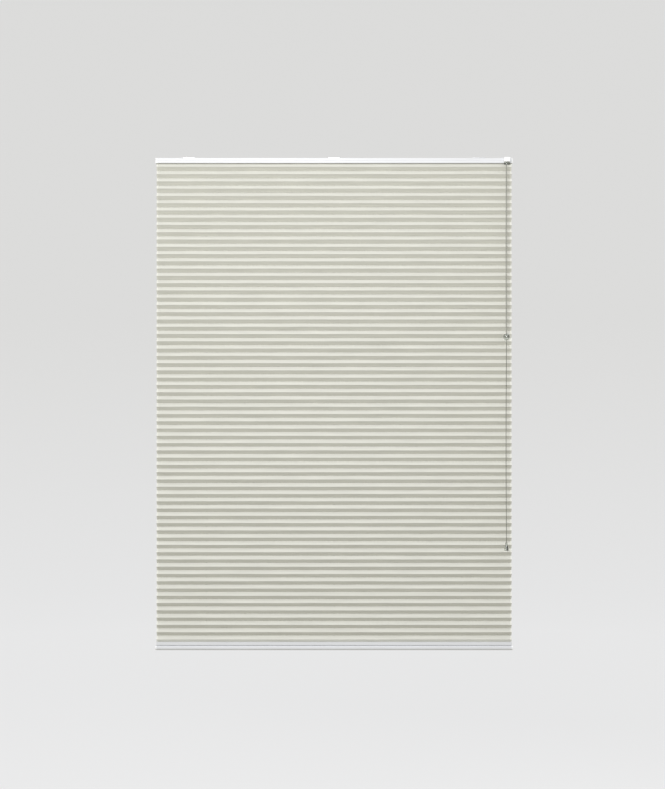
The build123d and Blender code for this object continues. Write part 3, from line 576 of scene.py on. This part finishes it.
# the lift cords, each in three parts: in the headrail, down through the cloth, and in the bottom rail to
# its knot
KNOT_Z = -1.6875
TAIL_GAP = 0.0003  # between a cord's part in the cloth and its part in the bottom rail
for side, x in STATIONS.items():
    in_head, _ = cord_mesh(f"lift_in_head_{side}", HEAD_ROUTES[side], CORD_R)
    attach(in_head, "head_set")
    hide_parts(f"lift_cord_{side}")
    drop = [(x, 0, HEAD_BOTTOM), (x, 0, -0.6), (x, 0, -1.1), (x, 0, RAIL_TOP)]
    in_cloth, _ = cord_mesh(f"lift_in_cloth_{side}", drop, CORD_R)
    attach(in_cloth, "head_set")
    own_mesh(in_cloth)
    tail = [(x, 0, RAIL_TOP - TAIL_GAP), (x, 0, -1.672), (x, 0, -1.68), (x, 0, KNOT_Z)]
    in_rail, _ = cord_mesh(f"lift_in_rail_{side}", tail, CORD_R)
    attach(in_rail, "rail_set")
    knot(f"lift_knot_{side}", (x, 0, KNOT_Z), size=0.0036, radius=0.00055, body="rail_set")


# ---- cloth ----

CELLS = 66
PITCH = 0.025  # from one cell to the next
RIDGE_Y = 0.01565  # how far the ridges stand out from the middle plane
GLUE_Y = 0.004  # half the width of the glued strip between two cells
GLUE_GAP = 0.00015  # half the gap between two cells at their glued strip
FACET_SHARES = (0.05, 0.2, 0.45, 0.7, 0.88)  # where a facet is divided, from glue to ridge
BOW = 0.00022  # how far a facet bows out at its middle
BEND_DEPTH = 0.00022  # how much a ridge is rounded off
BEND_HEIGHT = 0.0005  # how far above and below the ridge that starts
SWAY_LIFT = 0.00022  # how far a ridge strays up or down
SWAY_DEPTH = 0.00018  # and in or out
DIVISIONS = 40  # along X, before the cord holes add theirs
HOLE_HALF = 0.0035  # half the width of a cord hole along X
HOLE_CLEAR = 0.006  # no even division is nearer than this to the middle of a hole
SLOT_Y = 0.01055  # half the width of the slots in the rails
POCKET_Y = 0.0132  # half the width of the pocket round a slat
POCKET_NEAR = 0.00125  # from the slot's mouth to the pocket's near face
POCKET_FAR = 0.0026  # and to its far face


def mesh_piece(name, verts, faces, material):
    """An object made from points, faces and one material."""
    mesh = bpy.data.meshes.new(name)
    mesh.from_pydata(verts, [], faces)
    mesh.update()
    mesh.materials.append(material)
    return placed(name, mesh)


def stations_along():
    """Where the cloth is divided along X: evenly, and at the edges of the cord holes."""
    xs = set(np.round(np.linspace(-END_X, END_X, DIVISIONS + 1), 5).tolist())
    for x in STATIONS.values():
        xs = {v for v in xs if abs(v - x) > HOLE_CLEAR}
        xs |= {round(x - HOLE_HALF, 5), round(x + HOLE_HALF, 5)}
    return sorted(xs)


def over_hole(left, right):
    """Whether the strip of cloth between two places along X lies over a cord hole."""
    return any(abs((left + right) / 2 - x) < HOLE_HALF for x in STATIONS.values())


def both_sides(half):
    """An outline through the points in front, then in reverse through the same points behind."""
    return [(-y, z) for y, z in half] + [(y, z) for y, z in half[::-1]]


def facet(glue, ridge):
    """Points from the fold at the glue line towards the ridge, bowed outwards a little."""
    (y0, z0), (y1, z1) = glue, ridge
    length = math.hypot(y1 - y0, z1 - z0)
    away = (abs(z1 - z0) / length, (y1 - y0) / length * math.copysign(1, z0 - z1))
    points = [glue]
    for share in FACET_SHARES:
        lift = BOW * 4 * share * (1 - share)
        y = y0 + (y1 - y0) * share + away[0] * lift
        z = z0 + (z1 - z0) * share + away[1] * lift
        points.append((y, z))
    return points


def cell_side(index):
    """One side of a cell's loop, top to bottom, as (depth, z): bowed facets and a rounded ridge."""
    top, bottom = HEAD_BOTTOM - PITCH * index, HEAD_BOTTOM - PITCH * (index + 1)
    middle = (top + bottom) / 2
    start, end = (GLUE_Y, top - GLUE_GAP), (GLUE_Y, bottom + GLUE_GAP)
    if index == 0:
        start = (SLOT_Y, HEAD_BOTTOM)
    if index == CELLS - 1:
        end = (SLOT_Y, RAIL_TOP)
    upper = facet(start, (RIDGE_Y, middle))
    lower = facet(end, (RIDGE_Y, middle))[::-1]
    above = (RIDGE_Y - BEND_DEPTH, middle + BEND_HEIGHT)
    below = (RIDGE_Y - BEND_DEPTH, middle - BEND_HEIGHT)
    return upper + [above, (RIDGE_Y, middle), below] + lower


def sway(rng):
    """A slow wave along X between -1 and 1, different for each cell."""
    waves = [(rng.uniform(4, 24), rng.uniform(0, 2 * math.pi), rng.uniform(0.3, 1)) for _ in range(4)]
    total = sum(w[2] for w in waves)
    return lambda x: sum(a * math.sin(f * x + p) for f, p, a in waves) / total


def cell_points(side, xs, lift_wave, depth_wave):
    """A cell's loop at each station, swaying a fraction of a millimetre, most at the ridges."""
    ridge_z = side[len(side) // 2][1]
    points = []
    for x in xs:
        lift, depth = SWAY_LIFT * lift_wave(x), SWAY_DEPTH * depth_wave(x)
        for y, z in both_sides(side):
            near_ridge = max(0.0, (abs(y) - GLUE_Y) / (RIDGE_Y - GLUE_Y))
            hang = near_ridge * (1 - abs(z - ridge_z) / PITCH)
            points.append((x, y + math.copysign(depth * near_ridge, y), z + lift * hang))
    return points


def cell_faces(index, xs, count, first):
    """The faces of a cell with count points a side, whose points are numbered from first.

    A glued strip is left out at the cord holes, and where an end cell opens into a rail's slot.
    """
    ring = 2 * count
    top_strip, bottom_strip = ring - 1, count - 1
    faces = []
    for i in range(len(xs) - 1):
        hole = over_hole(xs[i], xs[i + 1])
        a, b = first + i * ring, first + (i + 1) * ring
        for j in range(ring):
            if j == top_strip and (hole or index == 0):
                continue
            if j == bottom_strip and (hole or index == CELLS - 1):
                continue
            k = (j + 1) % ring
            faces.append((a + j, a + k, b + k, b + j))
    return faces


def cell_cloth():
    """The honeycomb: one closed loop a cell, each hung from the one above."""
    xs = stations_along()
    rng = np.random.default_rng(7)
    verts, faces = [], []
    for index in range(CELLS):
        side = cell_side(index)
        faces += cell_faces(index, xs, len(side), len(verts))
        verts += cell_points(side, xs, sway(rng), sway(rng))
    return mesh_piece("honeycomb", verts, faces, CLOTH)


def slat_pocket(name, mouth, way, body):
    """The cloth round a slat, from the slot's two lips to the pocket's far face."""
    near, far = mouth + way * POCKET_NEAR, mouth + way * POCKET_FAR
    half = [(SLOT_Y, mouth), (SLOT_Y, near), (POCKET_Y, near), (POCKET_Y, far), (GLUE_Y, far)]
    outline = both_sides(half)
    ring, far_strip = len(outline), len(half) - 1
    xs = stations_along()
    verts = [(x, y, z) for x in xs for y, z in outline]
    faces = []
    for i in range(len(xs) - 1):
        for j in range(ring - 1):
            if j == far_strip and over_hole(xs[i], xs[i + 1]):
                continue
            a, b = i * ring + j, (i + 1) * ring + j
            faces.append((a, a + 1, b + 1, b))
    piece = mesh_piece(name, verts, faces, CLOTH)
    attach(piece, body)
    return piece


cloth = cell_cloth()
pockets = [
    slat_pocket("head_pocket", HEAD_BOTTOM, 1, "head_set"),
    slat_pocket("rail_pocket", RAIL_TOP, -1, "rail_set"),
]
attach(cloth, "head_set")
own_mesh(cloth)
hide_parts("cell_cloth")


# ---- stage and light ----

STAGE_WHITE = 0.3
STAGE_GLOW = 0.5
FLOOR_Z = -3.2  # below the tassel at its lowest
MIDDLE_R = 0.5  # the floor's middle is one flat face of this radius
WALL_R = 16.0
WALL_TOP = 24.0
CURVE_R = 4.0  # of the curve between floor and wall
CURVE_STEPS = 8
ROUND_STEPS = 96
FLAG_X = 3.0  # how far to each side a black card stands
FLAG_Z = -0.85  # the height of its middle
FLAG_HALF = 2.6  # half its height and half its depth
SKY = (0.895, 0.9, 0.91)
BOUNCE = (0.43, 0.42, 0.36)
HORIZON = 0.3  # the two mix from this far below level to this far above


def stage_paint():
    """Pale matt studio paint that glows a little, and can be seen through from outside or below."""
    paint = plastic_paint("stage", (STAGE_WHITE,) * 3, 0.9, 0.00002)
    paint.shader.inputs["Emission Color"].default_value = (1, 1, 1, 1)
    paint.shader.inputs["Emission Strength"].default_value = STAGE_GLOW
    side = paint.node("ShaderNodeNewGeometry")
    clear = paint.node("ShaderNodeBsdfTransparent")
    either = paint.node("ShaderNodeMixShader")
    paint.link(side.outputs["Backfacing"], either.inputs["Fac"])
    paint.link(paint.shader.outputs["BSDF"], either.inputs[1])
    paint.link(clear.outputs["BSDF"], either.inputs[2])
    paint.link(either.outputs["Shader"], paint.output.inputs["Surface"])
    return paint.material


def stage_bowl():
    """A round floor that curves up into a wall all round, seen but casting no light."""
    profile = [(MIDDLE_R, FLOOR_Z)]
    for step in range(CURVE_STEPS + 1):
        turn = math.radians(90) * step / CURVE_STEPS
        r = WALL_R - CURVE_R + CURVE_R * math.sin(turn)
        profile.append((r, FLOOR_Z + CURVE_R - CURVE_R * math.cos(turn)))
    profile.append((WALL_R, WALL_TOP))
    verts, faces = [], []
    for i in range(ROUND_STEPS):
        angle = 2 * math.pi * i / ROUND_STEPS
        verts += [(r * math.cos(angle), r * math.sin(angle), z) for r, z in profile]
    count = len(profile)
    for i in range(ROUND_STEPS):
        a, b = i * count, (i + 1) % ROUND_STEPS * count
        faces += [(a + j, a + j + 1, b + j + 1, b + j) for j in range(count - 1)]
    faces.append(tuple(i * count for i in range(ROUND_STEPS)))
    bowl = mesh_piece("floor", verts, faces, stage_paint())
    for face in bowl.data.polygons:
        face.use_smooth = True
    bowl.visible_diffuse = False
    bowl.visible_glossy = False
    bowl.visible_transmission = False
    bowl.visible_shadow = False


def side_flag(name, x):
    """A black studio card to one side, seen only in gloss and through the clear plastic."""
    low, high, near, far = FLAG_Z - FLAG_HALF, FLAG_Z + FLAG_HALF, -FLAG_HALF, FLAG_HALF
    corners = [(x, near, low), (x, far, low), (x, far, high), (x, near, high)]
    card = mesh_piece(name, corners, [(0, 1, 2, 3)], BLACK)
    card.visible_camera = False
    card.visible_diffuse = False
    card.visible_shadow = False


def area_light(name, place, aim, size, power):
    """A square soft light, size across, turned towards the point that it is aimed at."""
    data = bpy.data.lights.new(name, "AREA")
    data.shape = "SQUARE"
    data.size = size
    data.energy = power
    light = placed(name, data)
    light.location = place
    light.rotation_euler = (Vector(aim) - Vector(place)).to_track_quat("-Z", "Y").to_euler()


def studio_world():
    """Soft light from all round: sky above, and darker and warmer bounced light below."""
    world = bpy.data.worlds.new("studio")
    world.use_nodes = True
    tree = world.node_tree
    place = tree.nodes.new("ShaderNodeTexCoord")
    split = tree.nodes.new("ShaderNodeSeparateXYZ")
    height = tree.nodes.new("ShaderNodeMapRange")
    mix = tree.nodes.new("ShaderNodeMix")
    mix.data_type = "RGBA"
    mix.inputs["A"].default_value = (*BOUNCE, 1)
    mix.inputs["B"].default_value = (*SKY, 1)
    height.inputs["From Min"].default_value = -HORIZON
    height.inputs["From Max"].default_value = HORIZON
    tree.links.new(place.outputs["Generated"], split.inputs["Vector"])
    tree.links.new(split.outputs["Z"], height.inputs["Value"])
    tree.links.new(height.outputs["Result"], mix.inputs["Factor"])
    tree.links.new(mix.outputs["Result"], tree.nodes["Background"].inputs["Color"])
    bpy.context.scene.world = world


stage_bowl()
BLACK = plastic_paint("black_card", (0.02, 0.02, 0.02), 0.9, 0.00002).material
side_flag("flag_left", -FLAG_X)
side_flag("flag_right", FLAG_X)
area_light("front", place=(-0.6, -3.4, 0.5), aim=(0, 0, -0.6), size=1.5, power=66)
area_light("high", place=(0.45, -2.6, 1.35), aim=(0, 0, -0.6), size=0.8, power=14)
area_light("back", place=(1.5, 3.6, 1.4), aim=(0, 0, -0.9), size=2.0, power=60)
studio_world()
bpy.context.scene.view_settings.view_transform = "Standard"

# clear plastic lets light through, but its shadow would be rendered as dark as any other
for name in ("exit_bushing", "connector_cap", "connector_body", "tassel"):
    nodes[name].visible_shadow = False
